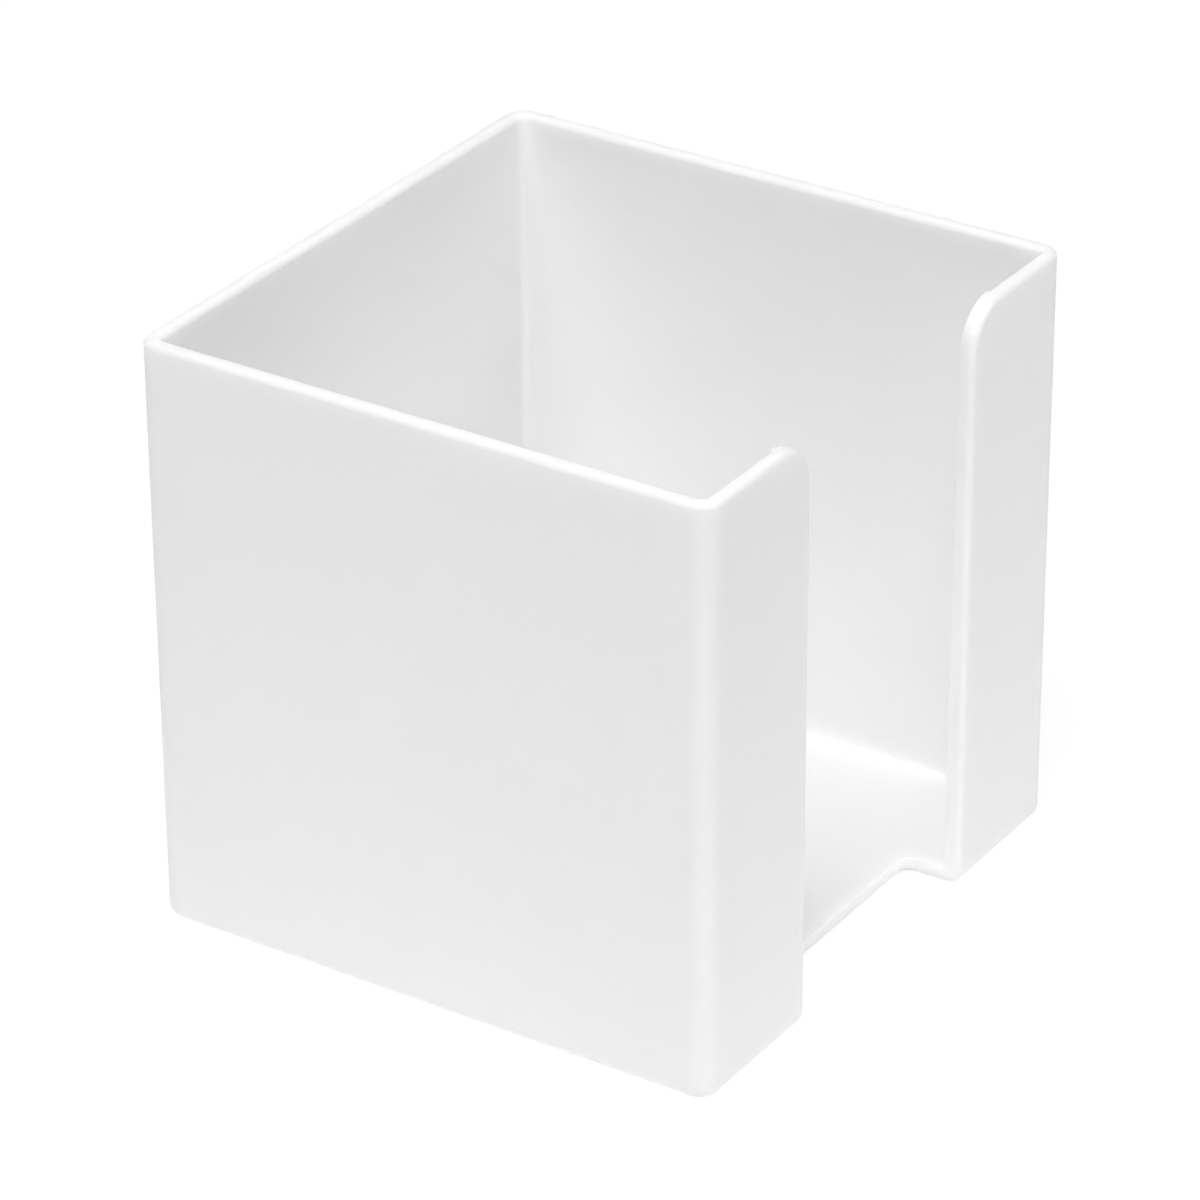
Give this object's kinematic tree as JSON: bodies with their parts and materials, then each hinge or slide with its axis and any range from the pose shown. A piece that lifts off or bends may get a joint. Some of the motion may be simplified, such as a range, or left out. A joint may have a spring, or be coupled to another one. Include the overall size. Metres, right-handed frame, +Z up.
{
  "type": "memo box",
  "caption": "Open-topped square box for loose memo notes, with a full-height finger gap in its front wall, a notch in its floor and non-slip pads underneath.",
  "frame": {"origin": "on the supporting surface, under the middle of the box", "axes": "+Z up; -Y out of the front wall with the finger gap; +X to the right seen from the front"},
  "size_m": [0.1, 0.0984, 0.0982],
  "materials": {
    "moulded_styrene": "injection-moulded white polystyrene, satin gloss",
    "foot_pad": "matt translucent-white elastomer disc"
  },
  "bodies": {
    "root": {"box_shell": "moulded_styrene", "foot_pad_front_left": "foot_pad", "foot_pad_front_right": "foot_pad", "foot_pad_back_left": "foot_pad", "foot_pad_back_right": "foot_pad"}
  },
  "joints": []
}
